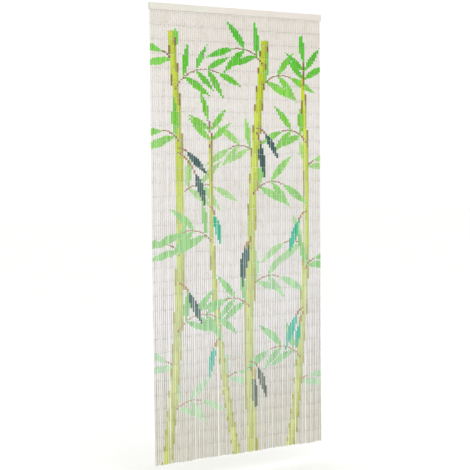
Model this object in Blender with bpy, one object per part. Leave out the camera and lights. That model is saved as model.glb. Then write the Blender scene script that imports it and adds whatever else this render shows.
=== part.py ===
"""Bamboo bead door curtain hung from a wooden top rail.

Ninety strands of slim bamboo tubes hang side by side from a painted batten that is
fixed to the lintel over a doorway. X runs along the rail, -Y faces the room and +Z is
up. The origin is at the middle of the rail's back face. Every length is in metres.
"""

import math

import bmesh
import bpy
from mathutils import Vector

# Rail
RAIL_LENGTH = 0.900
RAIL_HEIGHT = 0.0285
RAIL_DEPTH = 0.014
RAIL_EASED_EDGE = 0.0012
RAIL_EASED_STEPS = 2

# Curtain
CURTAIN_HEIGHT = 2.000
STRAND_COUNT = 90
TUBE_DIAMETER = 0.0082
FIELD_WIDTH = 0.8935
FIELD_OFFSET = -0.0008

# The solid that stands for each strand, and the strip that joins the strands' roots
STRAND_SIDE = 0.0072
STRIP_HEIGHT = 0.0025
RUNNING_GAP = 0.0003
STRAND_SPANS = 5

# How far the strands stray from plumb at the foot, and how uneven their ends are
LEAN = 0.0006
BOW = 0.0004
DEPTH_SWAY = 0.0020
END_SCATTER = 0.0016
END_WAVE = 0.0022
END_WAVE_STRANDS = (37.0, 13.0)
LEFT_STRAND_EXTRA = 0.004

# How far the left edge draws in at the foot, and over about how many strands
FOOT_DRAW = 0.0055
DRAWN_STRANDS = 14.0

# Places where neighbouring strands stand apart, or crowd where the opening is negative
PARTED_REACH = 4.0
PARTED_PLACES = (
    # after strand, begins at drop, opening at foot
    (8, 0.60, 0.0010),
    (21, 1.10, 0.0014),
    (33, 0.80, 0.0016),
    (40, 1.00, 0.0014),
    (48, 1.25, -0.0004),
    (57, 1.15, 0.0024),
    (61, 1.00, -0.0004),
    (65, 0.90, -0.0004),
    (73, 0.70, 0.0011),
    (80, 1.20, -0.0004),
    (85, 0.85, 0.0012),
)

RAIL_UNDERSIDE = -RAIL_HEIGHT / 2
STRAND_DEPTH = -RAIL_DEPTH / 2
STRAND_PITCH = (FIELD_WIDTH - TUBE_DIAMETER) / (STRAND_COUNT - 1)
STRAND_DROP = CURTAIN_HEIGHT - RAIL_HEIGHT

PAINTED_WOOD_COLOR = (0.83, 0.80, 0.71, 1.0)
WHITEWASHED_BAMBOO_COLOR = (0.72, 0.69, 0.60, 1.0)


def clear_scene():
    for existing in list(bpy.data.objects):
        bpy.data.objects.remove(existing, do_unlink=True)


def make_material(name, color, roughness):
    material = bpy.data.materials.new(name)
    material.use_nodes = True
    shader = material.node_tree.nodes["Principled BSDF"]
    shader.inputs["Base Color"].default_value = color
    shader.inputs["Roughness"].default_value = roughness
    shader.inputs["Metallic"].default_value = 0.0
    material.diffuse_color = color
    return material


def add_object(name, shape, material):
    """Turn a bmesh into a named object at the origin."""
    bmesh.ops.recalc_face_normals(shape, faces=shape.faces)
    mesh = bpy.data.meshes.new(name)
    shape.to_mesh(mesh)
    shape.free()
    mesh.materials.append(material)
    made = bpy.data.objects.new(name, mesh)
    bpy.context.scene.collection.objects.link(made)
    return made


def add_box(shape, low, high):
    """Add a box between two corners to a bmesh and return its vertices."""
    verts = bmesh.ops.create_cube(shape, size=1.0)["verts"]
    middle = (low + high) / 2
    size = high - low
    bmesh.ops.scale(shape, verts=verts, vec=size)
    bmesh.ops.translate(shape, verts=verts, vec=middle)
    return verts


def scatter(strand, channel):
    """A repeatable number from -1 to 1 that differs from strand to strand."""
    value = math.sin(strand * 12.9898 + channel * 78.233) * 43758.5453
    return 2.0 * (value - math.floor(value)) - 1.0


def strand_top(strand):
    """X of the place on the rail that a strand hangs from; strands count from 0."""
    return FIELD_OFFSET + (strand - (STRAND_COUNT - 1) / 2) * STRAND_PITCH


def strand_length(strand):
    """Length of a strand from the rail's underside to its lower end."""
    wave = sum(math.sin(2 * math.pi * strand / across) for across in END_WAVE_STRANDS)
    length = STRAND_DROP + END_SCATTER * scatter(strand, 1)
    length += END_WAVE * wave / len(END_WAVE_STRANDS)
    if strand == 0:
        length += LEFT_STRAND_EXTRA
    return length


def parted_shift(strand, drop):
    """Sideways shift that the parted and crowded places give a strand."""
    shift = 0.0
    for after_strand, begins, opening in PARTED_PLACES:
        share = max(0.0, (drop - begins) / (STRAND_DROP - begins))
        steps_away = strand + 0.5 - after_strand
        side = math.copysign(1.0, steps_away)
        fade = math.exp(-(abs(steps_away) - 0.5) / PARTED_REACH)
        shift += side * opening / 2 * fade * share
    return shift


def strand_point(strand, drop):
    """Centre of a strand at a distance below the rail's underside."""
    share = drop / STRAND_DROP
    lean = LEAN * scatter(strand, 2) * share
    bow = BOW * scatter(strand, 3) * math.sin(math.pi * min(share, 1.0))
    sway = DEPTH_SWAY * scatter(strand, 4) * share
    drawn = FOOT_DRAW * math.exp(-strand / DRAWN_STRANDS) * share * share
    x = strand_top(strand) + lean + bow + drawn + parted_shift(strand, drop)
    return Vector((x, STRAND_DEPTH + sway, RAIL_UNDERSIDE - drop))


def make_rail(material):
    """The batten that the strands hang from, with its edges eased."""
    shape = bmesh.new()
    low = Vector((-RAIL_LENGTH / 2, -RAIL_DEPTH, -RAIL_HEIGHT / 2))
    high = Vector((RAIL_LENGTH / 2, 0.0, RAIL_HEIGHT / 2))
    add_box(shape, low, high)
    rail = add_object("rail", shape, material)
    easing = rail.modifiers.new("eased edges", "BEVEL")
    easing.width = RAIL_EASED_EDGE
    easing.segments = RAIL_EASED_STEPS
    easing.limit_method = "ANGLE"
    return rail


def draw_down(shape, root, strand):
    """Draw a face on the strip's underside down along a strand's own line."""
    length = strand_length(strand)
    top = root.calc_center_median()
    root_drop = RAIL_UNDERSIDE - top.z
    face = root
    place = top
    for span in range(1, STRAND_SPANS + 1):
        drop = root_drop + (length - root_drop) * span / STRAND_SPANS
        target = strand_point(strand, drop)
        face = bmesh.ops.extrude_discrete_faces(shape, faces=[face])["faces"][0]
        bmesh.ops.translate(shape, verts=face.verts, vec=target - place)
        place = target


def make_strands(material):
    """All strands, joined at their roots by a narrow strip under the rail."""
    shape = bmesh.new()
    half_side = STRAND_SIDE / 2
    strip_top = RAIL_UNDERSIDE - RUNNING_GAP
    first = strand_top(0) - half_side
    last = strand_top(STRAND_COUNT - 1) + half_side
    low = Vector((first, STRAND_DEPTH - half_side, strip_top - STRIP_HEIGHT))
    high = Vector((last, STRAND_DEPTH + half_side, strip_top))
    add_box(shape, low, high)

    cuts = []
    for strand in range(STRAND_COUNT):
        cuts += [strand_top(strand) - half_side, strand_top(strand) + half_side]
    for x in cuts[1:-1]:
        everything = shape.verts[:] + shape.edges[:] + shape.faces[:]
        bmesh.ops.bisect_plane(shape, geom=everything, plane_co=(x, 0, 0), plane_no=(1, 0, 0))

    underside = [face for face in shape.faces if face.normal.z < -0.5]
    underside.sort(key=lambda face: face.calc_center_median().x)
    roots = underside[::2]
    for strand, root in enumerate(roots):
        draw_down(shape, root, strand)
    return add_object("strands", shape, material)


def main():
    clear_scene()
    painted_wood = make_material("painted_wood", PAINTED_WOOD_COLOR, 0.55)
    bamboo = make_material("whitewashed_bamboo", WHITEWASHED_BAMBOO_COLOR, 0.60)
    make_rail(painted_wood)
    make_strands(bamboo)


main()
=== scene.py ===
# %% [markdown]
# # Bamboo bead door curtain
#
# Ninety strands of bamboo tubes hang from a slim painted rail. Every tube is about as
# long as a finger and hooks into the next one with a small wire eye, so a strand is a
# chain that falls straight but never quite plumb. The tubes are whitewashed, and a
# design of stems and leaves is painted across all the strands at once, so each strand
# carries only a short, level-ended dash of every leaf.
#
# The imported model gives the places: a rail, and ninety plain four-sided strands. This
# script dresses them. The order is: the strands' routes, one tube and one wire eye
# modelled by hand, the painted design, the chains made from copies, the rail, the
# finishes, and last the floor, light and camera.

# %% Load the frame
import math
from collections import namedtuple

import bmesh
import bpy
import numpy as np
from mathutils import Matrix, Vector


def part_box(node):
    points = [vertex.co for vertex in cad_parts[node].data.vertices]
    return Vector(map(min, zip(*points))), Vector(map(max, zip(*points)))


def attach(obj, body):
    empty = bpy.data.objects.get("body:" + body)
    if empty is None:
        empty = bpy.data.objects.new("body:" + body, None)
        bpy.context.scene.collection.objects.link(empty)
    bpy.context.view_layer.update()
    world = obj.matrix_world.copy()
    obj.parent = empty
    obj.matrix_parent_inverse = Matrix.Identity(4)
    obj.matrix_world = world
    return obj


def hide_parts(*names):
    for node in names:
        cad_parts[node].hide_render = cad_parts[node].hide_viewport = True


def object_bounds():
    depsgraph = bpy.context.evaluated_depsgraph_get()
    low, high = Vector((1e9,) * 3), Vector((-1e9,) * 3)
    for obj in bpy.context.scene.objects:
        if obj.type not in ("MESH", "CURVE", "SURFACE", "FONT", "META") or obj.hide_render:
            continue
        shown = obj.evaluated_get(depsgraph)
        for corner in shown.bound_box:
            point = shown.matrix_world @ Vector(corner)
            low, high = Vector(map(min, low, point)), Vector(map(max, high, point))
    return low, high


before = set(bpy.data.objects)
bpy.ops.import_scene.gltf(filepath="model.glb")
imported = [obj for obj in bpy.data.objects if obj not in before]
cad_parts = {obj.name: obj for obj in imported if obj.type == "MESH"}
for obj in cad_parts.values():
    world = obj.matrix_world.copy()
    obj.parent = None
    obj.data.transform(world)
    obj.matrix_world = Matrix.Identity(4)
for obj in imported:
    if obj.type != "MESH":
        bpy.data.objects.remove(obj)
cad_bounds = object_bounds()
print("CAD box", [tuple(round(c, 4) for c in corner) for corner in cad_bounds])

# %% [markdown]
# ## Small helpers
#
# An operator works on whatever is selected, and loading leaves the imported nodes
# selected, so everything is deselected before each new primitive. A finished piece has
# its place in its mesh and its object at the origin.


# %% Selection and placing
def deselect_all():
    if bpy.context.mode != "OBJECT":
        bpy.ops.object.mode_set(mode="OBJECT")
    bpy.ops.object.select_all(action="DESELECT")


def make_active(piece):
    deselect_all()
    piece.select_set(True)
    bpy.context.view_layer.objects.active = piece


def settle(piece):
    """Put the object's place, turn and scale into its mesh."""
    make_active(piece)
    bpy.ops.object.transform_apply(location=True, rotation=True, scale=True)


def select_where(piece, kind, test):
    """In edit mode, select just the VERTs, EDGEs or FACEs that pass a test."""
    shape = bmesh.from_edit_mesh(piece.data)
    bpy.ops.mesh.select_mode(type=kind)
    for part in {"VERT": shape.verts, "EDGE": shape.edges, "FACE": shape.faces}[kind]:
        part.select_set(test(part))
    bmesh.update_edit_mesh(piece.data)


# %% [markdown]
# ## Where the strands hang
#
# A bead strand hangs from its own eye in the rail. The eyes are evenly spaced, but each
# chain has a little curl in its links, so it leans, bows and sways by a millimetre or
# so, and here and there two neighbours stand apart or crowd each other. Those stray
# lines of light and shade are what makes such a curtain look real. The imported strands
# follow this same rule, so the tubes are placed by repeating it with the same sizes.

# %% Sizes of the curtain, and where it is uneven
RAIL_LOW, RAIL_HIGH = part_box("rail")
RAIL_UNDERSIDE = RAIL_LOW[2]
STRAND_DEPTH = (RAIL_LOW[1] + RAIL_HIGH[1]) / 2
CURTAIN_HEIGHT = 2.000
STRAND_COUNT = 90
TUBE_DIAMETER = 0.0082
FIELD_WIDTH = 0.8935
FIELD_OFFSET = -0.0008
STRAND_PITCH = (FIELD_WIDTH - TUBE_DIAMETER) / (STRAND_COUNT - 1)
STRAND_DROP = CURTAIN_HEIGHT - (RAIL_HIGH[2] - RAIL_LOW[2])

LEAN = 0.0006
BOW = 0.0004
DEPTH_SWAY = 0.0020
END_SCATTER = 0.0016
END_WAVE = 0.0022
END_WAVE_STRANDS = (37.0, 13.0)
LEFT_STRAND_EXTRA = 0.004
FOOT_DRAW = 0.0055
DRAWN_STRANDS = 14.0

PARTED_REACH = 4.0
PARTED_PLACES = (
    # after strand, begins at drop, opening at foot
    (8, 0.60, 0.0010),
    (21, 1.10, 0.0014),
    (33, 0.80, 0.0016),
    (40, 1.00, 0.0014),
    (48, 1.25, -0.0004),
    (57, 1.15, 0.0024),
    (61, 1.00, -0.0004),
    (65, 0.90, -0.0004),
    (73, 0.70, 0.0011),
    (80, 1.20, -0.0004),
    (85, 0.85, 0.0012),
)
print("strand pitch", round(STRAND_PITCH * 1000, 3), "mm, drop", round(STRAND_DROP, 4), "m")


# %% Routes of the strands
def scatter(strand, channel):
    """A repeatable number from -1 to 1 that differs from strand to strand."""
    value = math.sin(strand * 12.9898 + channel * 78.233) * 43758.5453
    return 2.0 * (value - math.floor(value)) - 1.0


def strand_top(strand):
    """X of the eye that a strand hangs from; strands count from 0 at the left."""
    return FIELD_OFFSET + (strand - (STRAND_COUNT - 1) / 2) * STRAND_PITCH


def strand_length(strand):
    """Length of a strand from the rail's underside to its lower end."""
    wave = sum(math.sin(2 * math.pi * strand / across) for across in END_WAVE_STRANDS)
    length = STRAND_DROP + END_SCATTER * scatter(strand, 1)
    length += END_WAVE * wave / len(END_WAVE_STRANDS)
    if strand == 0:
        length += LEFT_STRAND_EXTRA
    return length


def parted_shift(strand, drop):
    """Sideways shift that the parted and crowded places give a strand."""
    shift = 0.0
    for after_strand, begins, opening in PARTED_PLACES:
        share = max(0.0, (drop - begins) / (STRAND_DROP - begins))
        steps_away = strand + 0.5 - after_strand
        side = math.copysign(1.0, steps_away)
        fade = math.exp(-(abs(steps_away) - 0.5) / PARTED_REACH)
        shift += side * opening / 2 * fade * share
    return shift


def strand_point(strand, drop):
    """Centre of a strand at a distance below the rail's underside."""
    share = drop / STRAND_DROP
    lean = LEAN * scatter(strand, 2) * share
    bow = BOW * scatter(strand, 3) * math.sin(math.pi * min(share, 1.0))
    sway = DEPTH_SWAY * scatter(strand, 4) * share
    drawn = FOOT_DRAW * math.exp(-strand / DRAWN_STRANDS) * share * share
    x = strand_top(strand) + lean + bow + drawn + parted_shift(strand, drop)
    return Vector((x, STRAND_DEPTH + sway, RAIL_UNDERSIDE - drop))


foot = strand_point(0, strand_length(0))
print("left strand ends at", [round(c, 4) for c in foot])

# %% [markdown]
# ## Links and rows
#
# A soft steel wire runs through each tube, and both its ends are turned into a closed
# eye that is just as wide as the bore. It is pressed a little way into the mouth of the
# bore, which grips it. Two hooked eyes pull taut when the wire of each rests inside the
# other. The tubes could be given a length and a gap by eye, but here the wire gives the
# gap between two tubes, and the gap gives their length, because the rows have to fill
# the drop. So no link is ever too long or too short for its joint.

# %% Sizes of the links and tubes
WIRE_RADIUS = 0.00045
TUBE_BORE = 0.0030
EYE_RADIUS = TUBE_BORE / 2 - WIRE_RADIUS
EYE_PRESSED_IN = 0.00015
EYES_APART = 2 * (EYE_RADIUS - WIRE_RADIUS)
LINK_GAP = EYES_APART - 2 * EYE_PRESSED_IN
EYE_CLEARS_RAIL = 0.0002
RAIL_EYE_DROP = EYE_RADIUS + WIRE_RADIUS + EYE_CLEARS_RAIL
FIRST_TUBE_DROP = RAIL_EYE_DROP + EYES_APART - EYE_PRESSED_IN
TUBE_ROWS = 32
ROW_PITCH = (STRAND_DROP - FIRST_TUBE_DROP + LINK_GAP) / TUBE_ROWS
TUBE_LENGTH = ROW_PITCH - LINK_GAP
print("gap", round(LINK_GAP * 1000, 2), "mm, tube", round(TUBE_LENGTH * 1000, 2), "mm long")

# %% [markdown]
# ## One bamboo tube
#
# The tubes are slices of a thin culm: a wall 2.6 mm thick round a narrow bore, cut
# square at both ends, with the sharp rim rubbed off in the tumbling drum. A cylinder
# with capped ends would look like dowel, so the caps are inset and bridged through into
# a real bore, and the rims are bevelled. Three kinds are modelled: a straight one with
# a slight belly, one that bends a little, and one that was cut across a joint of the
# culm and keeps its raised ring. There are thousands of tubes, so each has only a few
# dozen faces.

# %% Ways to shape a tube
TUBE_SIDES = 10
RIM_EASE = 0.0004
INSIDE_WALL = TUBE_BORE * 0.75
OUTSIDE, CUT_END, BORE = 0.0, 1.0, 2.0


def on_outer_wall(place):
    return math.hypot(place.x, place.y) > INSIDE_WALL


def is_cap(face):
    return abs(face.normal.z) > 0.9


def is_wall(face):
    return not is_cap(face)


def is_whole_cap(face):
    return is_cap(face) and len(face.verts) == TUBE_SIDES


def scale_ring(tube, height, scale, slide):
    """Scale the outer ring of corners at a height, and slide it sideways."""

    def on_ring(vert):
        return abs(vert.co.z - height) < RIM_EASE / 4 and on_outer_wall(vert.co)

    select_where(tube, "VERT", on_ring)
    bpy.ops.transform.resize(value=(scale, scale, 1.0), center_override=(0.0, 0.0, height))
    bpy.ops.transform.translate(value=(slide, 0.0, 0.0))


# %% Model the three kinds of tube
TUBE_KINDS = {
    # kind: rows of height share, scale, slide
    "straight": ((0.0, 1.025, 0.0),),
    "bent": ((0.12, 0.985, 0.00022),),
    "jointed": ((0.24, 1.0, 0.0), (0.32, 1.085, 0.0), (0.40, 0.985, 0.0)),
}


def model_tube(name, rings):
    """One bored tube; rings are (height share, scale, slide) rows for its outer wall."""
    deselect_all()
    bpy.ops.mesh.primitive_cylinder_add(
        vertices=TUBE_SIDES, radius=TUBE_DIAMETER / 2, depth=TUBE_LENGTH, end_fill_type="NGON"
    )
    tube = bpy.context.object
    tube.name = name
    bpy.ops.object.mode_set(mode="EDIT")
    for share, scale, slide in rings:
        height = share * TUBE_LENGTH / 2
        select_where(tube, "FACE", is_wall)
        bpy.ops.mesh.bisect(plane_co=(0.0, 0.0, height), plane_no=(0.0, 0.0, 1.0))
    select_where(tube, "FACE", is_cap)
    bpy.ops.mesh.bevel(offset=RIM_EASE, segments=1, affect="EDGES")
    select_where(tube, "FACE", is_whole_cap)
    bpy.ops.mesh.inset(thickness=(TUBE_DIAMETER - TUBE_BORE) / 2 - RIM_EASE)
    bpy.ops.mesh.delete(type="FACE")
    select_where(tube, "EDGE", lambda edge: edge.is_boundary)
    bpy.ops.mesh.bridge_edge_loops()
    for share, scale, slide in rings:
        scale_ring(tube, share * TUBE_LENGTH / 2, scale, slide)
    bpy.ops.mesh.select_all(action="SELECT")
    bpy.ops.mesh.normals_make_consistent(inside=False)
    bpy.ops.object.mode_set(mode="OBJECT")
    return tube


tubes = {kind: model_tube("tube_" + kind, rings) for kind, rings in TUBE_KINDS.items()}
for kind, tube in tubes.items():
    print("tube", kind, len(tube.data.polygons), "faces")

# %% [markdown]
# ## One wire eye
#
# An eye is a ring and a short stub of wire that goes up into the bore, because the rest
# of the wire can't be seen. The eyes in the rail are the same with a longer stub, which
# is a screw thread hidden in the wood. A bent curve with a round section would give a
# smoother eye, but it is copied thousands of times and is 3 mm wide, so a coarse torus
# and a cylinder of four sides do.

# %% Model the wire eyes
EYE_STEPS = 8
WIRE_SIDES = 4
BORE_STUB = 0.003
RAIL_STUB = 0.0045


def model_eye(name, stub):
    """A ring in the XZ plane round the origin, with a stub of wire going up from it."""
    deselect_all()
    bpy.ops.mesh.primitive_torus_add(
        major_segments=EYE_STEPS,
        minor_segments=WIRE_SIDES,
        major_radius=EYE_RADIUS,
        minor_radius=WIRE_RADIUS,
        rotation=(math.radians(90), 0.0, 0.0),
    )
    ring = bpy.context.object
    bpy.ops.object.transform_apply(location=False, rotation=True, scale=False)
    deselect_all()
    bpy.ops.mesh.primitive_cylinder_add(
        vertices=WIRE_SIDES,
        radius=WIRE_RADIUS,
        depth=stub,
        end_fill_type="NGON",
        location=(0.0, 0.0, EYE_RADIUS + stub / 2),
    )
    bpy.ops.object.transform_apply(location=True, rotation=False, scale=False)
    ring.select_set(True)
    bpy.context.view_layer.objects.active = ring
    bpy.ops.object.join()
    ring.name = name
    return ring


tube_eye = model_eye("tube_eye", BORE_STUB)
rail_eye = model_eye("rail_eye", RAIL_STUB)
eye_width = 2 * (EYE_RADIUS + WIRE_RADIUS)
print("eye", len(tube_eye.data.polygons), "faces,", round(eye_width * 1000, 2), "mm wide")

# %% [markdown]
# ## The painted design
#
# The curtain is painted flat, so the design is worked out flat too, in metres across
# from the middle and metres down from the rail. It is a plain growth of slim stems, and
# fern-like sprays arch out of them: a thin brown rib with lance-shaped leaves in pairs
# and one at its tip. All of it comes from short tables, with a row for each stem and
# each spray. A paint program or an image could hold the same picture, but a table of
# stems stays sharp at any distance and can be read and changed.

# %% Tables of stems and sprays
Stem = namedtuple("Stem", "foot_across foot_down bend top_across top_down foot_width top_width")
Spray = namedtuple(
    "Spray", "stem leaves_at side length rise droop pairs leaf_length tint in_front"
)

STEM_ROWS = {
    # name: foot across, foot down, sideways bend, top across, top down, foot width, top width
    "left": (-0.395, 2.00, 0.060, -0.345, 0.085, 0.050, 0.036),
    "slim": (-0.020, 2.00, -0.046, -0.150, 0.540, 0.040, 0.018),
    "middle": (0.060, 2.00, -0.044, 0.140, 0.105, 0.056, 0.040),
    "right": (0.265, 2.00, 0.052, 0.345, 0.270, 0.048, 0.024),
}

SPRAY_ROWS = (
    # stem, leaves it at drop, side, length, rise, droop, pairs, leaf length, tint, in front
    ("left", 0.335, 1, 0.250, 60, 84, 3, 0.146, "leaf", True),
    ("left", 0.225, -1, 0.075, 62, 40, 1, 0.148, "mint", False),
    ("left", 0.560, -1, 0.095, 58, 60, 1, 0.171, "leaf", True),
    ("left", 0.800, 1, 0.185, 46, 70, 2, 0.160, "mint", False),
    ("left", 1.060, -1, 0.085, 66, 60, 1, 0.165, "leaf", True),
    ("left", 1.395, 1, 0.220, 54, 80, 3, 0.148, "leaf", True),
    ("left", 1.560, -1, 0.060, 60, 40, 1, 0.148, "mint", False),
    ("left", 1.760, 1, 0.170, 52, 70, 2, 0.148, "mint", False),
    ("slim", 0.590, -1, 0.120, 98, 26, 2, 0.148, "leaf", True),
    ("slim", 1.010, -1, 0.170, 56, 80, 2, 0.160, "leaf", True),
    ("slim", 1.640, 1, 0.080, 60, 60, 1, 0.137, "mint", False),
    ("middle", 0.215, -1, 0.180, 56, 70, 2, 0.157, "leaf", True),
    ("middle", 0.330, 1, 0.190, 60, 80, 2, 0.160, "mint", False),
    ("middle", 0.620, -1, 0.150, 52, 84, 2, 0.148, "mint", False),
    ("middle", 0.800, 1, 0.185, 56, 84, 2, 0.162, "leaf", True),
    ("middle", 1.230, 1, 0.180, 54, 76, 2, 0.160, "mint", False),
    ("middle", 1.310, -1, 0.140, 52, 70, 2, 0.150, "leaf", True),
    ("right", 0.300, -1, 0.105, 104, 24, 2, 0.142, "leaf", True),
    ("right", 0.560, -1, 0.150, 58, 80, 2, 0.153, "leaf", True),
    ("right", 0.690, 1, 0.060, 70, 50, 1, 0.148, "mint", False),
    ("right", 1.050, -1, 0.130, 46, 70, 1, 0.165, "mint", False),
    ("right", 1.150, 1, 0.070, 66, 50, 1, 0.160, "leaf", True),
    ("right", 1.560, -1, 0.190, 52, 76, 2, 0.160, "leaf", True),
    ("right", 1.690, 1, 0.075, 58, 50, 1, 0.148, "mint", False),
    ("left", 0.610, 1, 0.120, -34, 30, 0, 0.165, "dark", True),
    ("left", 0.590, 1, 0.040, -4, 40, 0, 0.150, "dark", True),
    ("middle", 0.500, 1, 0.050, 2, 60, 0, 0.160, "dark", True),
    ("middle", 0.520, 1, 0.050, -54, 30, 0, 0.150, "dark", True),
    ("right", 0.880, -1, 0.060, -20, 50, 0, 0.165, "turquoise", True),
    ("slim", 0.850, 1, 0.040, -46, 30, 0, 0.160, "turquoise", True),
    ("left", 1.180, 1, 0.060, -26, 40, 0, 0.160, "dark", True),
    ("middle", 1.010, -1, 0.050, -16, 60, 0, 0.165, "dark", True),
    ("middle", 0.990, -1, 0.040, -62, 20, 0, 0.150, "dark", True),
    ("right", 1.330, -1, 0.050, -8, 60, 0, 0.165, "turquoise", True),
    ("right", 1.350, -1, 0.050, -60, 20, 0, 0.150, "turquoise", True),
    ("middle", 1.560, 1, 0.050, -2, 60, 0, 0.160, "dark", True),
    ("middle", 1.585, 1, 0.050, -52, 30, 0, 0.150, "dark", True),
    ("slim", 1.440, -1, 0.040, -38, 30, 0, 0.160, "turquoise", True),
)

stems = {name: Stem(*row) for name, row in STEM_ROWS.items()}
sprays = [Spray(*row) for row in SPRAY_ROWS]
print(len(stems), "stems,", len(sprays), "sprays")

# %% [markdown]
# ## Colours of the paint
#
# The paint is strong near the rail and thins out downwards, as if the plants stood in
# mist, and it deepens a little again at the foot. Each tint is a few stops down the
# curtain. The colours are named as they would be mixed, in everyday 0 to 255 values,
# and turned into the linear values that the shader needs. A colour ramp in the material
# could hold them, but each face is to carry its own paint, so Python reads the tables.

# %% Tints
TINTS = {
    # tint: rows of drop, red, green, blue
    "leaf": (
        (0.10, 70, 188, 0),
        (0.35, 100, 191, 16),
        (0.60, 140, 205, 98),
        (0.90, 157, 209, 136),
        (1.20, 156, 208, 143),
        (1.65, 166, 210, 166),
        (1.95, 172, 204, 146),
    ),
    "mint": (
        (0.10, 102, 200, 36),
        (0.35, 130, 205, 68),
        (0.60, 164, 211, 126),
        (0.90, 177, 214, 154),
        (1.20, 180, 219, 172),
        (1.65, 188, 219, 186),
        (1.95, 190, 213, 168),
    ),
    "stem": (
        (0.10, 186, 205, 0),
        (0.35, 192, 209, 20),
        (0.60, 195, 211, 70),
        (0.90, 200, 213, 127),
        (1.40, 205, 214, 152),
        (1.70, 204, 212, 156),
        (1.95, 205, 212, 134),
    ),
    "stem_shade": (
        (0.10, 158, 176, 0),
        (0.35, 166, 182, 12),
        (0.60, 176, 190, 56),
        (0.90, 190, 202, 112),
        (1.40, 195, 204, 145),
        (1.95, 193, 197, 126),
    ),
    "stem_line": (
        (0.10, 130, 108, 26),
        (0.35, 140, 120, 38),
        (0.60, 164, 150, 78),
        (0.90, 180, 176, 106),
        (1.40, 188, 188, 124),
        (1.95, 182, 176, 100),
    ),
    "rib": ((0.10, 128, 92, 56), (0.90, 176, 142, 116), (1.95, 186, 166, 138)),
    "dark": (
        (0.30, 26, 68, 66),
        (0.60, 46, 90, 84),
        (0.90, 72, 108, 106),
        (1.40, 104, 126, 120),
        (1.95, 126, 132, 110),
    ),
    "turquoise": (
        (0.60, 46, 180, 130),
        (0.90, 62, 188, 150),
        (1.40, 102, 196, 172),
        (1.95, 140, 200, 182),
    ),
}
TINT_NAMES = list(TINTS)


def linear(color):
    """Everyday 0 to 255 colour values as linear ones."""
    shares = np.asarray(color, dtype=float) / 255
    low = shares / 12.92
    high = ((shares + 0.055) / 1.055) ** 2.4
    return tuple(np.where(shares <= 0.04045, low, high))


def tint_at(tint, drop):
    rows = np.array(TINTS[tint], dtype=float)
    return np.array([np.interp(drop, rows[:, 0], rows[:, part]) for part in (1, 2, 3)])


print("top leaf paint", tint_at("leaf", 0.05), "lower", tint_at("leaf", 1.5))

# %% [markdown]
# ## Laying out stems, sprays and leaves
#
# A stem is a band about a gently bent line. A spray's rib leaves its stem at an angle
# and droops along its length, and its leaves stand out in pairs that close up towards
# the tip. These could be drawn as curves in the scene, but nothing of them is ever
# rendered, and a formula can be asked for any point, so the design is only arithmetic.


# %% Lay out stems and ribs
RIB_STEPS = 30


def stem_rise(stem, downs):
    """How far up a stem one or more drops lie, from 0 at its foot to 1 at its top."""
    return (stem.foot_down - downs) / (stem.foot_down - stem.top_down)


def stem_across(stem, downs):
    """Middle line of a stem at one or more drops."""
    rise = stem_rise(stem, downs)
    straight = stem.foot_across + (stem.top_across - stem.foot_across) * rise
    return straight + 4 * stem.bend * rise * (1 - rise)


def stem_width(stem, downs):
    return stem.foot_width + (stem.top_width - stem.foot_width) * stem_rise(stem, downs)


def rib_line(spray):
    """Points and headings along a spray's rib, from its stem to its tip."""
    across, down = stem_across(stems[spray.stem], spray.leaves_at), spray.leaves_at
    line = []
    for step in range(RIB_STEPS + 1):
        heading = math.radians(spray.rise - spray.droop * step / RIB_STEPS)
        line.append((across, down, heading if spray.side > 0 else math.pi - heading))
        across += spray.side * math.cos(heading) * spray.length / RIB_STEPS
        down -= math.sin(heading) * spray.length / RIB_STEPS
    return line


first_rib = rib_line(sprays[0])
print("first rib ends at", round(first_rib[-1][0], 3), "across", round(first_rib[-1][1], 3), "down")

# %% Lay out the leaves
Leaf = namedtuple("Leaf", "across down heading length width bend")
FIRST_PAIR_AT = 0.28
WIDE_SPREAD, NARROW_SPREAD = 56, 36
LEAF_TURN_SPREAD = 7.0
LEAF_LENGTH_SPREAD = 0.10
LEAF_SLIMNESS = 0.205
LEAF_SAG = 0.12
LEAF_BEND_SPREAD = 0.05


def spray_leaves(spray, number):
    """Leaves of one spray: its pairs from the stem outwards, and one at the tip."""
    line = rib_line(spray)
    made = []
    for place in range(2 * spray.pairs + 1):
        pair, turn_side = place // 2, 1 if place % 2 else -1
        reach = pair / spray.pairs if spray.pairs else 1.0
        step = round((FIRST_PAIR_AT + (1 - FIRST_PAIR_AT) * reach) * RIB_STEPS)
        across, down, heading = line[step]
        at_tip = place == 2 * spray.pairs
        spread = 0.0 if at_tip else WIDE_SPREAD + (NARROW_SPREAD - WIDE_SPREAD) * reach
        seed = number * 10 + place
        turn = math.radians(turn_side * spread + LEAF_TURN_SPREAD * scatter(seed, 5))
        length = spray.leaf_length * (1.0 + LEAF_LENGTH_SPREAD * scatter(seed, 6))
        bend = -LEAF_SAG * math.cos(heading) + LEAF_BEND_SPREAD * scatter(seed, 7)
        made.append(Leaf(across, down, heading + turn, length, length * LEAF_SLIMNESS, bend))
    return made


leaf_count = sum(len(spray_leaves(spray, number)) for number, spray in enumerate(sprays))
print(leaf_count, "leaves")

# %% [markdown]
# ## The design strand by strand
#
# A strand is a sampling line through the flat design. Down each line these cells mark
# which paint covers every millimetre: the sprays behind, then the stems with a brown
# outline, then the sprays in front. The strands were painted lying side by side and
# have slipped a little since, so each line is shifted by a hair. The leaves could be
# cut out of the tubes as shapes, but the real ones end level on every strand, which a
# list of dashes gives by itself.

# %% Paint a leaf, a stem and a spray down a line
LEAF_FULLEST_EARLY = 0.82
LEAF_POINTEDNESS = 1.15
STEM_SHADE_FROM = 0.30
STEM_LINE = 0.0034
RIB_WIDTH = 0.0042


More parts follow.
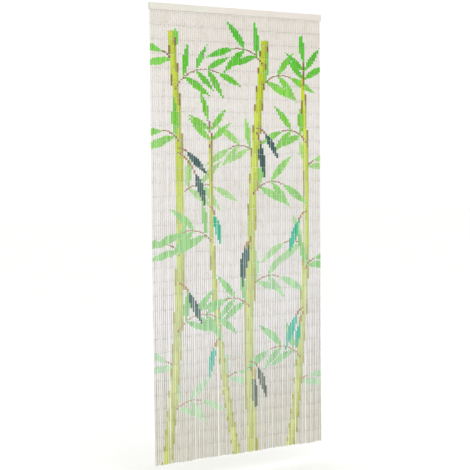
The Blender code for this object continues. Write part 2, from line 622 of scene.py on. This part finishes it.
def leaf_cover(leaf, across, downs):
    """Where a leaf covers a line of points that all lie at one distance across."""
    step_x = across - leaf.across
    step_up = leaf.down - downs
    along = (step_x * math.cos(leaf.heading) + step_up * math.sin(leaf.heading)) / leaf.length
    aside = -step_x * math.sin(leaf.heading) + step_up * math.cos(leaf.heading)
    inside = (along > 0.0) & (along < 1.0)
    reach = np.clip(along, 0.0, 1.0)
    aside = aside - leaf.bend * leaf.length * reach * reach
    lance = np.sin(math.pi * reach**LEAF_FULLEST_EARLY) ** LEAF_POINTEDNESS
    return inside & (np.abs(aside) < leaf.width / 2 * lance)


def paint_stem(tints, stem, across, downs):
    offset = across - stem_across(stem, downs)
    half_width = stem_width(stem, downs) / 2
    covered = (np.abs(offset) < half_width) & (downs > stem.top_down)
    tints[covered] = TINT_NAMES.index("stem")
    tints[covered & (offset > half_width * STEM_SHADE_FROM)] = TINT_NAMES.index("stem_shade")
    outline = covered & (np.abs(offset) > half_width - STEM_LINE)
    tints[outline] = TINT_NAMES.index("stem_line")


def paint_sprays(tints, across, downs, in_front):
    """Paint either the sprays in front of the stems or those behind them."""
    for number, spray in enumerate(sprays):
        if spray.in_front != in_front:
            continue
        for rib_across, rib_down, heading in rib_line(spray):
            if abs(rib_across - across) < STRAND_PITCH / 2:
                tints[np.abs(downs - rib_down) < RIB_WIDTH / 2] = TINT_NAMES.index("rib")
        for leaf in spray_leaves(spray, number):
            tints[leaf_cover(leaf, across, downs)] = TINT_NAMES.index(spray.tint)


# %% Paint the strands
SAMPLE = 0.001
SAMPLED_PAST_FOOT = 0.02
DROPS = np.arange(0.0, STRAND_DROP + SAMPLED_PAST_FOOT, SAMPLE)
PAINT_SLIP = 0.0022
BARE = -1


def paint_down(strand):
    """Index of the tint at each millimetre down a strand, or BARE."""
    across = strand_top(strand)
    downs = DROPS + PAINT_SLIP * scatter(strand, 8)
    tints = np.full(len(DROPS), BARE)
    paint_sprays(tints, across, downs, in_front=False)
    for stem in stems.values():
        paint_stem(tints, stem, across, downs)
    paint_sprays(tints, across, downs, in_front=True)
    return tints


def dashes(strand):
    """Dashes of paint down a strand as (from, to, tint index) rows."""
    tints = paint_down(strand)
    changes = np.flatnonzero(np.diff(tints)) + 1
    edges = [0, *changes, len(tints)]
    rows = [(DROPS[a], DROPS[b - 1] + SAMPLE, tints[a]) for a, b in zip(edges, edges[1:])]
    return [row for row in rows if row[2] != BARE and row[1] - row[0] >= SAMPLE * 2]


strand_dashes = [dashes(strand) for strand in range(STRAND_COUNT)]
print("dashes of paint", sum(len(rows) for rows in strand_dashes))

# %% [markdown]
# ## Copies of the tube
#
# Every strand is strung with the same few kinds of tube. Thousands of copied objects
# would be slow to make and heavy to export, so each modelled tube is read once as rows
# of numbers, and its copies are joined straight into one mesh for every few strands. A
# paint edge in the middle of a tube has to be sharp, so a tube that carries one is cut
# round at that height before it is copied. Every face then keeps its own paint, tone
# and kind of surface as attributes that the finish reads.


# %% Read and cut a template
def surface_of(face):
    """Whether a tube's face is outside, a cut end, or the bore."""
    if is_cap(face):
        return CUT_END
    return OUTSIDE if on_outer_wall(face.calc_center_median()) else BORE


def read_shape(shape):
    """A bmesh of quads as arrays: corners, quads, and the surface kind of each quad."""
    shape.verts.index_update()
    corners = np.array([vert.co[:] for vert in shape.verts])
    quads = np.array([[vert.index for vert in face.verts] for face in shape.faces])
    surfaces = np.array([surface_of(face) for face in shape.faces])
    # Operators leave corners and faces in another order each time, so both are sorted.
    by_place = np.lexsort(corners.T)
    quads = np.argsort(by_place)[quads]
    by_corners = np.lexsort(np.sort(quads, axis=1).T)
    return corners[by_place], quads[by_corners], surfaces[by_corners]


def cut_tube(tube, heights=()):
    """A tube's arrays, with its outer wall cut round at each height."""
    shape = bmesh.new()
    shape.from_mesh(tube.data)
    for height in heights:
        wall = [face for face in shape.faces if surface_of(face) == OUTSIDE]
        edges = list({edge for face in wall for edge in face.edges})
        verts = list({vert for face in wall for vert in face.verts})
        bmesh.ops.bisect_plane(
            shape, geom=verts + edges + wall, plane_co=(0, 0, height), plane_no=(0, 0, 1)
        )
    arrays = read_shape(shape)
    shape.free()
    return arrays


plain_tubes = {kind: cut_tube(tube) for kind, tube in tubes.items()}
for kind, (corners, quads, surfaces) in plain_tubes.items():
    print(kind, len(corners), "corners", len(quads), "quads")


# %% Gather copies into one mesh
class Joined:
    """Corners, quads and attributes gathered from many copies into one mesh."""

    def __init__(self):
        self.corners, self.quads = [], []
        self.values = {"POINT": {}, "FACE": {}}
        self.count = 0

    def add(self, corners, quads, points, faces):
        self.corners.append(corners)
        self.quads.append(quads + self.count)
        self.count += len(corners)
        for domain, named in (("POINT", points), ("FACE", faces)):
            for name, value in named.items():
                self.values[domain].setdefault(name, []).append(value)

    def make(self, name):
        mesh = bpy.data.meshes.new(name)
        corners, quads = np.concatenate(self.corners), np.concatenate(self.quads)
        mesh.from_pydata(corners.tolist(), [], quads.tolist())
        for domain, named in self.values.items():
            for attribute, parts in named.items():
                values = np.concatenate(parts)
                form = "FLOAT_COLOR" if values.ndim == 2 else "FLOAT"
                field = "color" if values.ndim == 2 else "value"
                made = mesh.attributes.new(attribute, form, domain)
                made.data.foreach_set(field, values.astype(np.float32).ravel())
        mesh.shade_smooth()
        mesh.set_sharp_from_angle(angle=math.radians(50))
        piece = bpy.data.objects.new(name, mesh)
        bpy.context.scene.collection.objects.link(piece)
        return piece


# %% [markdown]
# ## Stringing the strands
#
# Each tube hangs between two points of its strand's route. It gets its own turn about
# its length, may be upside down, and differs a little in thickness and tone. The foot of
# a culm gives the thicker tubes, and more of those are strung near the rail. The links
# pull each joint a hair off the line, and the rows drift up and down as they do on the
# real curtain, because no two tubes are cut to quite the same length.

# %% Places along a strand
JOINT_STRAY = 0.0002
ROW_DRIFT = 0.0011
STRANDS_DRIFTING_ALIKE = 7
SHARED_DRIFT_TURN, SHARED_DRIFT_SHIFT = 0.37, 5.0
OWN_DRIFT_SHARE, OWN_DRIFT_TURN = 0.6, 0.21
draws = np.random.default_rng(41)


def row_drop(strand, row_place):
    """Drop of a place given in rows, stretched to the strand's own length."""
    nominal = FIRST_TUBE_DROP + row_place * ROW_PITCH
    stretch = strand_length(strand) / STRAND_DROP
    shift = SHARED_DRIFT_SHIFT * scatter(strand // STRANDS_DRIFTING_ALIKE, 9)
    drift = math.sin(row_place * SHARED_DRIFT_TURN + shift)
    own_share = OWN_DRIFT_SHARE * scatter(strand, 10)
    drift += own_share * math.sin(row_place * OWN_DRIFT_TURN + strand)
    ends = math.sin(math.pi * min(1.0, row_place / TUBE_ROWS))
    return nominal * stretch + ROW_DRIFT * drift * ends


def string_points(strand):
    """The (top, bottom) points of every tube of a strand."""
    strays = []
    for joint in range(TUBE_ROWS + 1):
        strays.append(Vector((*draws.uniform(-1, 1, 2), 0.0)) * JOINT_STRAY)
    points = []
    for row in range(TUBE_ROWS):
        top = strand_point(strand, row_drop(strand, row)) + strays[row]
        bottom = strand_point(strand, row_drop(strand, row + 1) - LINK_GAP) + strays[row + 1]
        points.append((top, bottom))
    return points


strand_points = [string_points(strand) for strand in range(STRAND_COUNT)]
first_top, first_bottom = strand_points[0][0]
print("first tube from", round(first_top.z, 4), "to", round(first_bottom.z, 4))


# %% Paint on a tube
def paint_edges(strand, top_drop, bottom_drop):
    """Drops of the paint edges that fall on one tube, clear of its rims."""
    low, high = top_drop + 2.5 * RIM_EASE, bottom_drop - 2.5 * RIM_EASE
    found = {edge for start, end, tint in strand_dashes[strand] for edge in (start, end)}
    kept = []
    for edge in sorted(edge for edge in found if low < edge < high):
        if not kept or edge - kept[-1] > 1.5 * SAMPLE:
            kept.append(edge)
    return kept


def paint_colors(strand, drops, strength):
    """Paint colour and cover for faces at these drops on a strand."""
    colors = np.zeros((len(drops), 4))
    covered = np.zeros(len(drops))
    for start, end, tint in strand_dashes[strand]:
        for face in np.flatnonzero((drops > start) & (drops < end)):
            mixed = tint_at(TINT_NAMES[tint], drops[face]) * strength
            colors[face, :3] = linear(np.clip(mixed, 0, 255))
            covered[face] = 1.0
    return colors, covered


# %% Hang the tubes
STRANDS_PER_PIECE = 9
THICKNESS_SPREAD = 0.025
THICKER_AT_TOP = 0.03
PAINT_SPREAD = 0.05
KIND_SHARES = {"straight": 0.62, "bent": 0.30, "jointed": 0.08}


def turned_frame(top, bottom, spin, flip):
    """Turn that lays a tube's own Z axis along the line from bottom to top."""
    upright = (top - bottom).normalized()
    turn = Vector((0.0, 0.0, 1.0)).rotation_difference(upright).to_matrix()
    turn = turn @ Matrix.Rotation(spin, 3, "Z")
    if flip:
        turn = turn @ Matrix.Rotation(math.pi, 3, "X")
    return np.array(turn)


def hang_tube(joined, strand, top, bottom):
    """Add one tube of a strand between two points of its route."""
    kind = draws.choice(list(KIND_SHARES), p=list(KIND_SHARES.values()))
    spin, flip = draws.uniform(0, 2 * math.pi), draws.random() < 0.5
    tone, strength = draws.uniform(-1, 1), 1.0 + PAINT_SPREAD * draws.uniform(-1, 1)
    top_drop, bottom_drop = RAIL_UNDERSIDE - top.z, RAIL_UNDERSIDE - bottom.z
    middle_drop = (top_drop + bottom_drop) / 2
    thickness = 1.0 + THICKNESS_SPREAD * draws.uniform(-1, 1)
    thickness += THICKER_AT_TOP * (1 - 2 * middle_drop / STRAND_DROP)
    edges = paint_edges(strand, top_drop, bottom_drop)
    side = -1.0 if flip else 1.0
    heights = [side * (middle_drop - edge) for edge in edges]
    corners, quads, surfaces = cut_tube(tubes[kind], heights) if edges else plain_tubes[kind]
    from_end = TUBE_LENGTH / 2 - np.abs(corners[:, 2])
    stretch = (bottom_drop - top_drop) / TUBE_LENGTH
    sized = corners * np.array([thickness, thickness, stretch])
    turned = sized @ turned_frame(top, bottom, spin, flip).T
    # How far each corner lies to the side of its tube; the finish paints light and shade on those
    # sides by it.
    sideways = np.abs(turned[:, 0]) / (thickness * TUBE_DIAMETER / 2)
    placed = turned + np.array((top + bottom) / 2)
    face_drops = RAIL_UNDERSIDE - placed[quads][:, :, 2].mean(axis=1)
    colors, covered = paint_colors(strand, face_drops, strength)
    tones = np.full(len(quads), tone)
    faces = {"paint": colors, "covered": covered, "surface": surfaces, "tone": tones}
    joined.add(placed, quads, {"from_end": from_end, "sideways": sideways}, faces)


tube_pieces = []
for first in range(0, STRAND_COUNT, STRANDS_PER_PIECE):
    gathered = Joined()
    for strand in range(first, first + STRANDS_PER_PIECE):
        for top, bottom in strand_points[strand]:
            hang_tube(gathered, strand, top, bottom)
    tube_pieces.append(gathered.make(f"tubes_{first + 1:02d}_to_{first + STRANDS_PER_PIECE:02d}"))
triangles = sum(2 * len(piece.data.polygons) for piece in tube_pieces)
print(len(tube_pieces), "pieces of tubes,", triangles, "triangles")

# %% [markdown]
# ## Hooking the eyes together
#
# At each joint the upper tube's lower eye and the lower tube's upper eye hang in each
# other, a quarter turn apart. At the rail the upper eye is the one in the wood. The
# brush didn't stop at the joints, so an eye carries the paint of its place.

# %% Hang the eyes
STRANDS_PER_WIRE_PIECE = 30
eye_arrays = {}
for name, eye in (("tube", tube_eye), ("rail", rail_eye)):
    shape = bmesh.new()
    shape.from_mesh(eye.data)
    eye_arrays[name] = read_shape(shape)[:2]
    shape.free()


def hang_eye(joined, strand, kind, centre, spin, upside_down):
    corners, quads = eye_arrays[kind]
    turn = Matrix.Rotation(spin, 3, "Z")
    if upside_down:
        turn = turn @ Matrix.Rotation(math.pi, 3, "X")
    placed = corners @ np.array(turn).T + np.array(centre)
    drops = np.full(len(quads), RAIL_UNDERSIDE - centre.z)
    colors, covered = paint_colors(strand, drops, 1.0)
    tones = np.full(len(quads), draws.uniform(0, 1))
    joined.add(placed, quads, {}, {"paint": colors, "covered": covered, "tone": tones})


def hook_strand(strand, joined):
    """Hang the eyes of one strand, from the rail down to its last tube."""
    pressed_in, apart = Vector((0.0, 0.0, EYE_PRESSED_IN)), Vector((0.0, 0.0, EYES_APART))
    for row, (top, bottom) in enumerate(strand_points[strand]):
        spin, kind = draws.uniform(0, math.pi), "tube" if row else "rail"
        hang_eye(joined, strand, kind, top - pressed_in + apart, spin, False)
        hang_eye(joined, strand, "tube", top - pressed_in, spin + math.pi / 2, True)
    foot, spin = strand_points[strand][-1][1], draws.uniform(0, math.pi)
    hang_eye(joined, strand, "tube", foot + pressed_in, spin, False)


wire_pieces = []
for first in range(0, STRAND_COUNT, STRANDS_PER_WIRE_PIECE):
    gathered = Joined()
    for strand in range(first, first + STRANDS_PER_WIRE_PIECE):
        hook_strand(strand, gathered)
    wire_pieces.append(
        gathered.make(f"wire_eyes_{first + 1:02d}_to_{first + STRANDS_PER_WIRE_PIECE:02d}")
    )
triangles = sum(2 * len(piece.data.polygons) for piece in wire_pieces)
print(len(wire_pieces), "pieces of wire,", triangles, "triangles")
for template in [*tubes.values(), tube_eye, rail_eye]:
    bpy.data.objects.remove(template, do_unlink=True)

# %% [markdown]
# ## The rail
#
# The rail is a planed batten with its edges rubbed down and a thin coat of cream paint.
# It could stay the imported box, but a real batten is never that true: its faces have a
# faint wave from the planer and its ends are a little rounded over. It starts as a cube
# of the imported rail's size, is divided along its length, waved by a hair, and its edges
# are bevelled.

# %% Model the rail
RAIL_CUTS = 44
RAIL_WAVE = 0.00018
RAIL_EASE = 0.0013
RAIL_EASE_STEPS = 3
rail_size = [high - low for low, high in zip(RAIL_LOW, RAIL_HIGH)]
rail_middle = [(low + high) / 2 for low, high in zip(RAIL_LOW, RAIL_HIGH)]
deselect_all()
bpy.ops.mesh.primitive_cube_add(size=1.0, location=rail_middle)
rail = bpy.context.object
rail.name = "top_rail"
rail.scale = rail_size
settle(rail)
bpy.ops.object.mode_set(mode="EDIT")
for cut in range(1, RAIL_CUTS):
    x = RAIL_LOW[0] + rail_size[0] * cut / RAIL_CUTS
    bpy.ops.mesh.select_all(action="SELECT")
    bpy.ops.mesh.bisect(plane_co=(x, 0.0, 0.0), plane_no=(1.0, 0.0, 0.0))
bpy.ops.object.mode_set(mode="OBJECT")
for vert in rail.data.vertices:
    wave = math.sin(vert.co.x * 23.0) + 0.6 * math.sin(vert.co.x * 61.0 + 1.3)
    if vert.co.y < rail_middle[1]:
        vert.co.y += RAIL_WAVE * wave
    vert.co.z += 0.7 * RAIL_WAVE * math.sin(vert.co.x * 17.0 + 0.8)
easing = rail.modifiers.new("eased edges", "BEVEL")
easing.width = RAIL_EASE
easing.segments = RAIL_EASE_STEPS
easing.limit_method = "ANGLE"
easing.angle_limit = math.radians(60)
make_active(rail)
bpy.ops.object.modifier_apply(modifier=easing.name)
bpy.ops.object.shade_smooth_by_angle(angle=math.radians(35))
print("rail", len(rail.data.polygons), "faces")

# %% [markdown]
# ## Finishes
#
# The real pieces have three finishes: washed and painted bamboo, zinc-coated wire and
# painted wood. Image textures could show them, but nodes stay sharp from near by.
# Shader maths reads best as plain arithmetic, so a small class wraps a socket and turns
# Python's operators into Math nodes. Everything else goes through one method.


# %% A finish and its sockets
class Field:
    """One output in a finish; operators on it add Math nodes."""

    def __init__(self, finish, socket):
        self.finish = finish
        self.socket = socket

    def maths(self, operation, *values):
        return self.finish.node("ShaderNodeMath", {"operation": operation}, dict(enumerate(values)))

    def __add__(self, other):
        return self.maths("ADD", self, other)

    def __sub__(self, other):
        return self.maths("SUBTRACT", self, other)

    def __rsub__(self, other):
        return self.maths("SUBTRACT", other, self)

    def __mul__(self, other):
        return self.maths("MULTIPLY", self, other)

    __radd__ = __add__
    __rmul__ = __mul__

    def above(self, limit):
        return self.maths("GREATER_THAN", self, limit)

    def size(self):
        return self.maths("ABSOLUTE", self)

    def ramp(self, low, high):
        """0 below low, 1 above high, and smooth between."""
        settings = {"interpolation_type": "SMOOTHSTEP", "clamp": True}
        inputs = {"Value": self, "From Min": low, "From Max": high}
        return self.finish.node("ShaderNodeMapRange", settings, inputs)


def opaque(color):
    """Everyday colour values as the four values of a colour socket."""
    return (*linear(color), 1.0)


class Finish:
    """A material being built round its Principled shader."""

    def __init__(self, name):
        self.material = bpy.data.materials.new(name)
        self.material.use_nodes = True
        self.tree = self.material.node_tree
        self.shader = self.tree.nodes["Principled BSDF"]

    def feed(self, socket, value):
        if isinstance(value, Field):
            self.tree.links.new(value.socket, socket)
        else:
            socket.default_value = value

    def node(self, kind, settings=None, inputs=None, output=0):
        """Add a node: its settings come first, then values or links of its sockets."""
        made = self.tree.nodes.new(kind)
        for name, value in (settings or {}).items():
            setattr(made, name, value)
        for place, value in (inputs or {}).items():
            self.feed(made.inputs[place], value)
        return Field(self, made.outputs[output])

    def attribute(self, name, output="Fac"):
        return self.node("ShaderNodeAttribute", {"attribute_name": name}, output=output)

    def object_place(self, scale=(1.0, 1.0, 1.0)):
        place = self.node("ShaderNodeTexCoord", output="Object")
        return self.node("ShaderNodeMapping", inputs={"Vector": place, "Scale": scale})

    def part_of(self, place, axis):
        return self.node("ShaderNodeSeparateXYZ", inputs={0: place}, output=axis)

    def noise(self, place, scale, detail=2.0, roughness=0.5):
        inputs = {"Vector": place, "Scale": scale, "Detail": detail, "Roughness": roughness}
        return self.node("ShaderNodeTexNoise", inputs=inputs)

    def mix(self, share, first, second):
        """Blend two colours."""
        settings = {"data_type": "RGBA"}
        # A Mix node's colour sockets are its sixth and seventh, and its output the third.
        return self.node("ShaderNodeMix", settings, {0: share, 6: first, 7: second}, output=2)

    def bump(self, height, strength, distance):
        inputs = {"Height": height, "Strength": strength, "Distance": distance}
        return self.node("ShaderNodeBump", inputs=inputs)

    def wear(self, **sockets):
        """Set or link the Principled shader's sockets, named with underscores for spaces."""
        named = {socket.name.lower().replace(" ", "_"): socket for socket in self.shader.inputs}
        for name, value in sockets.items():
            self.feed(named[name], value)
        return self.material


# %% [markdown]
# ## Whitewashed and painted bamboo
#
# The tubes are dipped in thin white paint, so tan fibre shows through in streaks along
# their length, more on some tubes than others. The design is brushed over that and
# picks up the same streaks. Where tubes face their neighbours, their sides carry painted
# light near the rail and painted shade lower down, in place of the light and shade that
# fall between the strands. The brush has covered those sides only in part, so pale lines
# of wash and painted light run through the painted leaves. The rims are rubbed bare in
# places, and the cut ends show pale bamboo where no paint reached them.
# One plain colour would look like plastic, so the streaks come from noise that is
# stretched along Z, and everything else from the attributes that each tube carries.

# %% Finish of the tubes
WASH_TOP = (225, 220, 213)
WASH_LOWER_DOWN = (
    # from drop, to drop, colour
    (0.0, 0.6, (230, 227, 224)),
    (0.8, 1.3, (236, 234, 233)),
    (1.35, 1.9, (217, 215, 203)),
)
WASH_DULL = (212, 206, 194)
BARE_BAMBOO = (190, 168, 126)
CUT_BAMBOO = (224, 216, 198)
BORE_BAMBOO = (160, 140, 108)
# Painted light for the tubes' sides near the rail, which on painted tubes also stands for the wash
# the brush missed, and painted shade for the sides lower down.
SIDE_WASH_AND_PAINTED_LIGHT = (246, 243, 238)
SIDE_PAINTED_SHADE = (140, 136, 138)


def bamboo_finish():
    finish = Finish("whitewashed_bamboo_painted")
    plain = finish.object_place()
    streaked = finish.object_place((1.0, 1.0, 0.03))
    streaks = finish.noise(streaked, 1100.0, 3.0, 0.6)
    fibres = finish.noise(streaked, 3200.0, 2.0)
    patches = finish.noise(plain, 55.0, 2.0)
    clouds = finish.noise(plain, 5.5, 2.0)
    tone = finish.attribute("tone")
    covered = finish.attribute("covered")
    surface = finish.attribute("surface")
    drop = -1.0 * finish.part_of(plain, "Z")
    wash = opaque(WASH_TOP)
    for low, high, color in WASH_LOWER_DOWN:
        wash = finish.mix(drop.ramp(low, high), wash, opaque(color))
    dullness = ((clouds - 0.5) * 0.9 + tone * 0.09 + 0.12).ramp(0.0, 1.0)
    wash = finish.mix(dullness, wash, opaque(WASH_DULL))
    thin = (streaks * 0.6 + patches * 0.4 + tone * 0.03).ramp(0.50, 0.68)
    washed = finish.mix(thin * 0.32, wash, opaque(BARE_BAMBOO))
    grip = covered * (1.0 - 0.3 * (fibres * 0.5 + streaks * 0.5).ramp(0.55, 0.70))
    coated = finish.mix(grip, washed, finish.attribute("paint", "Color"))
    # The sides facing the neighbouring strands get painted light near the rail and painted shade
    # lower down, with less of the shade on painted tubes.
    lower = drop.ramp(0.3, 1.3)
    side_wash_and_light = opaque(SIDE_WASH_AND_PAINTED_LIGHT)
    between = finish.mix(lower * (1.0 - 0.6 * covered), side_wash_and_light, opaque(SIDE_PAINTED_SHADE))
    side_light_shade_share = 0.5 + 0.42 * drop.ramp(1.0, 1.5) - 0.5 * drop.ramp(1.6, 1.98)
    side_light_shade_share = side_light_shade_share * (1.0 - 0.4 * covered * lower)
    sideways = finish.attribute("sideways").ramp(0.82, 1.0) * (1.0 - surface.above(0.5))
    coated = finish.mix(sideways * side_light_shade_share, coated, between)
    rubbed = (1.0 - finish.attribute("from_end").ramp(0.0003, 0.0012)) * patches.ramp(0.46, 0.60)
    coated = finish.mix(rubbed * (0.4 - 0.25 * covered), coated, opaque(BARE_BAMBOO))
    raw = finish.mix(fibres.ramp(0.4, 0.9), opaque(CUT_BAMBOO), opaque(BARE_BAMBOO))
    coated = finish.mix(surface.above(0.5) * (1.0 - 0.9 * covered), coated, raw)
    coated = finish.mix(surface.above(1.5), coated, opaque(BORE_BAMBOO))
    relief = streaks * 0.6 + fibres * 0.4 - rubbed * 0.5
    return finish.wear(
        base_color=coated,
        roughness=0.56 + 0.20 * streaks - 0.06 * covered + 0.12 * rubbed,
        specular_ior_level=0.1,
        normal=finish.bump(relief, 0.35, 0.0004),
    )


bamboo = bamboo_finish()
for piece in tube_pieces:
    piece.data.materials.append(bamboo)
    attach(piece, "root")
    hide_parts("strands")
print("finish", bamboo.name, len(bamboo.node_tree.nodes), "nodes")

# %% [markdown]
# ## Dull galvanised wire
#
# Galvanised wire is a grey metal with a faint mottle, brighter where it rubs. One noise
# and each eye's own tone vary its colour and roughness. Where the design crosses a
# joint, a coat of its paint hides nearly all of the metal.


# %% Finish of the wire
def wire_finish():
    finish = Finish("galvanised_wire")
    mottle = finish.noise(finish.object_place(), 1600.0, 2.0)
    shade = (mottle * 0.6 + finish.attribute("tone") * 0.4).ramp(0.2, 0.8)
    metal = finish.mix(shade, opaque((140, 137, 130)), opaque((186, 183, 176)))
    coat = finish.attribute("covered") * (0.98 - 0.2 * mottle)
    color = finish.mix(coat, metal, finish.attribute("paint", "Color"))
    return finish.wear(
        base_color=color,
        metallic=0.85 * (1.0 - coat),
        roughness=0.66 - 0.2 * shade + 0.1 * coat,
    )


wire = wire_finish()
for piece in wire_pieces:
    piece.data.materials.append(wire)
    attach(piece, "root")
print("finish", wire.name)

# %% [markdown]
# ## Cream paint on planed wood
#
# The coat is thin enough for the grain to show as long faint lines, and the planer left
# them slightly raised. The cream turns a little rosier from the left end to the right.
# Along the long edges and at the corners the paint is rubbed through to the wood. The
# grain is noise stretched along X, and the rubbed edges come from the distance to the
# rail's own faces.

# %% Finish of the rail
RAIL_CREAM = (220, 219, 206)
RAIL_ROSE = (223, 212, 206)
RAIL_SHADE = (213, 208, 198)
RAIL_WOOD = (190, 152, 106)
RUBBED_ALONG_EDGES = 0.0016
RUBBED_AT_ENDS = 0.0025


def rail_finish():
    finish = Finish("cream_painted_wood")
    grain_place = finish.object_place((0.035, 1.0, 1.0))
    grain = finish.noise(grain_place, 420.0, 4.0, 0.6)
    lines = finish.noise(grain_place, 1500.0, 2.0)
    clouds = finish.noise(finish.object_place(), 9.0, 2.0)
    chips = finish.noise(finish.object_place((0.4, 1.0, 1.0)), 260.0, 3.0)
    place = finish.object_place()
    length, depth, height = rail_size
    from_middle, from_centre = finish.part_of(place, "X"), finish.part_of(place, "Z")
    to_front = -1.0 * finish.part_of(place, "Y")
    by_top = from_centre.size().ramp(height / 2 - RUBBED_ALONG_EDGES, height / 2)
    by_front = to_front.ramp(depth - RUBBED_ALONG_EDGES, depth)
    by_end = from_middle.size().ramp(length / 2 - RUBBED_AT_ENDS, length / 2)
    edge = by_top * by_front + by_end * (by_top + by_front)
    rubbed = (edge * 1.2 + chips * 0.9).ramp(1.05, 1.35)
    mottle = (grain * 0.6 + clouds * 0.4).ramp(0.35, 0.68)
    along = from_middle.ramp(-length / 2, length / 2)
    cream = finish.mix(along, opaque(RAIL_CREAM), opaque(RAIL_ROSE))
    cream = finish.mix(mottle, cream, opaque(RAIL_SHADE))
    color = finish.mix(rubbed * 0.8, cream, opaque(RAIL_WOOD))
    relief = grain * 0.5 + lines * 0.3 - rubbed * 0.6
    return finish.wear(
        base_color=color,
        roughness=0.46 + 0.18 * grain + 0.2 * rubbed,
        specular_ior_level=0.4,
        normal=finish.bump(relief, 0.3, 0.0004),
    )


rail.data.materials.clear()
rail.data.materials.append(rail_finish())
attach(rail, "root")
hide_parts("rail")
print("rail finished")

# %% [markdown]
# ## Floor, light and camera
#
# The curtain is shown as in a studio: a pale floor just under its foot, white all
# round, and broad soft light from the front so that the flat colours read. A hard sun
# would draw shadows of ninety strands on the floor. The camera stands to the left of
# the curtain, about 0.7 m lower than the rail, with a long lens.

# %% Floor and light
FLOOR_CLEARANCE = 0.08
FLOOR_SIZE = 60.0
floor_height = cad_bounds[0].z - FLOOR_CLEARANCE


def floor_finish():
    finish = Finish("pale_floor")
    speckle = finish.noise(finish.object_place(), 14.0, 3.0)
    color = finish.mix(speckle, opaque((252, 252, 251)), opaque((250, 250, 249)))
    return finish.wear(base_color=color, roughness=0.9)


deselect_all()
bpy.ops.mesh.primitive_plane_add(size=FLOOR_SIZE, location=(0.0, 0.0, floor_height))
floor = bpy.context.object
floor.name = "floor"
floor.data.materials.append(floor_finish())

world = bpy.data.worlds.new("studio")
bpy.context.scene.world = world
world.use_nodes = True
background = world.node_tree.nodes["Background"]
background.inputs["Color"].default_value = (1.0, 1.0, 1.0, 1.0)
background.inputs["Strength"].default_value = 1.04


def soft_light(name, place, target, size, watts):
    """A square area light at a place, turned towards a target."""
    data = bpy.data.lights.new(name, "AREA")
    data.shape = "SQUARE"
    data.size = size
    data.energy = watts
    light = bpy.data.objects.new(name, data)
    bpy.context.scene.collection.objects.link(light)
    light.location = place
    heading = Vector(target) - Vector(place)
    light.rotation_euler = heading.to_track_quat("-Z", "Y").to_euler()
    return light


soft_light("front_light", (-0.6, -4.4, 1.0), (0.0, 0.0, -0.9), 2.4, 27.0)
soft_light("back_light", (2.0, 3.4, 1.4), (0.0, 0.0, -0.9), 2.4, 12.0)
print("floor at", round(floor_height, 3))

# %% Camera
CAMERA_PLACE = (-2.882, -4.6105, -0.7138)
CAMERA_YAW, CAMERA_PITCH, CAMERA_ROLL = 31.812, -2.969, -0.45
FOCAL_PIXELS = 1207.5
PICTURE_PIXELS = 470
SENSOR_WIDTH = 36.0


def aim(camera, yaw, pitch, roll):
    """Turn a camera by yaw to the right of +Y, pitch upwards and roll, in degrees."""
    a, e, r = (math.radians(angle) for angle in (yaw, pitch, roll))
    ahead = Vector((math.sin(a) * math.cos(e), math.cos(a) * math.cos(e), math.sin(e)))
    level_right = Vector((math.cos(a), -math.sin(a), 0.0))
    level_up = level_right.cross(ahead)
    right = math.cos(r) * level_right + math.sin(r) * level_up
    up = -math.sin(r) * level_right + math.cos(r) * level_up
    turn = Matrix((right, up, -ahead)).transposed()
    camera.rotation_euler = turn.to_euler()


camera_data = bpy.data.cameras.new("camera")
camera_data.sensor_width = SENSOR_WIDTH
camera_data.lens = FOCAL_PIXELS / PICTURE_PIXELS * SENSOR_WIDTH
camera_data.clip_end = 200.0
camera = bpy.data.objects.new("camera", camera_data)
bpy.context.scene.collection.objects.link(camera)
camera.location = CAMERA_PLACE
aim(camera, CAMERA_YAW, CAMERA_PITCH, CAMERA_ROLL)
bpy.context.scene.camera = camera
bpy.context.scene.view_settings.view_transform = "Standard"
print("lens", round(camera_data.lens, 1), "mm")
